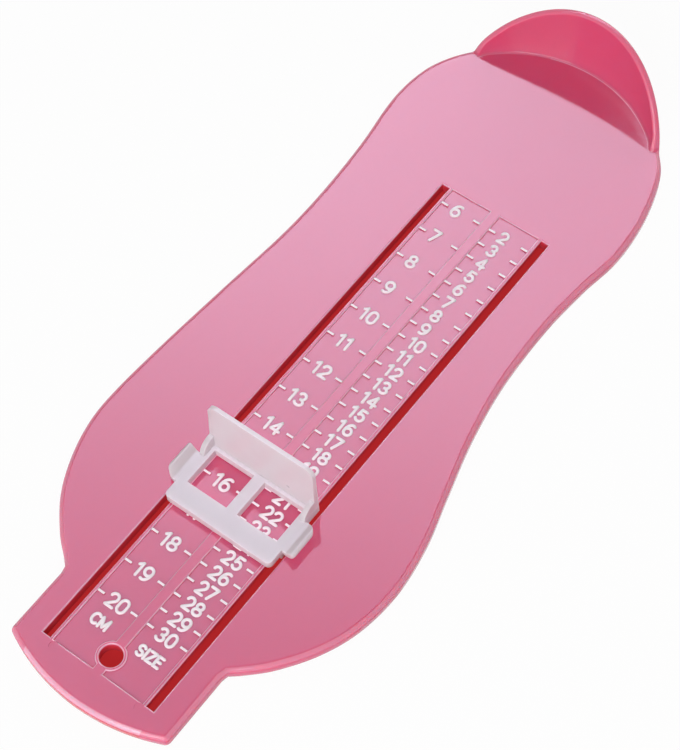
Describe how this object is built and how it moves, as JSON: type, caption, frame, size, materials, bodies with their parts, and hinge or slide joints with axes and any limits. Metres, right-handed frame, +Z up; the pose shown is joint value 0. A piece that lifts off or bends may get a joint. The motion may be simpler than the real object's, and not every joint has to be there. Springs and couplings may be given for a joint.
{
  "type": "foot measuring device",
  "caption": "Foot-shaped measuring plate for a small child's foot, with a heel cup, a raised double scale and a toe-stop slider that runs in two long slots.",
  "frame": {"origin": "middle of the bounding box on the surface that the plate lies on", "axes": "+Z up, square to the plate; +Y along the scale towards the heel cup, so the toe tab points along -Y; +X to the right when the heel is at the top"},
  "size_m": [0.0904, 0.2282, 0.0229],
  "materials": {
    "plate_plastic": "semi-gloss pink moulded plastic",
    "slider_plastic": "semi-gloss milky white moulded plastic",
    "scale_print": "pale hot-stamped tops of the raised scale"
  },
  "bodies": {
    "plate": {"foot_plate": "plate_plastic", "cm_marks": "scale_print", "size_marks": "scale_print"},
    "slider": {"slider": "slider_plastic"}
  },
  "joints": [
    {"name": "slider_slide", "type": "slide", "parent": "plate", "child": "slider", "axis": [0, -1, 0], "range_m": [-0.1028, 0.049]}
  ]
}
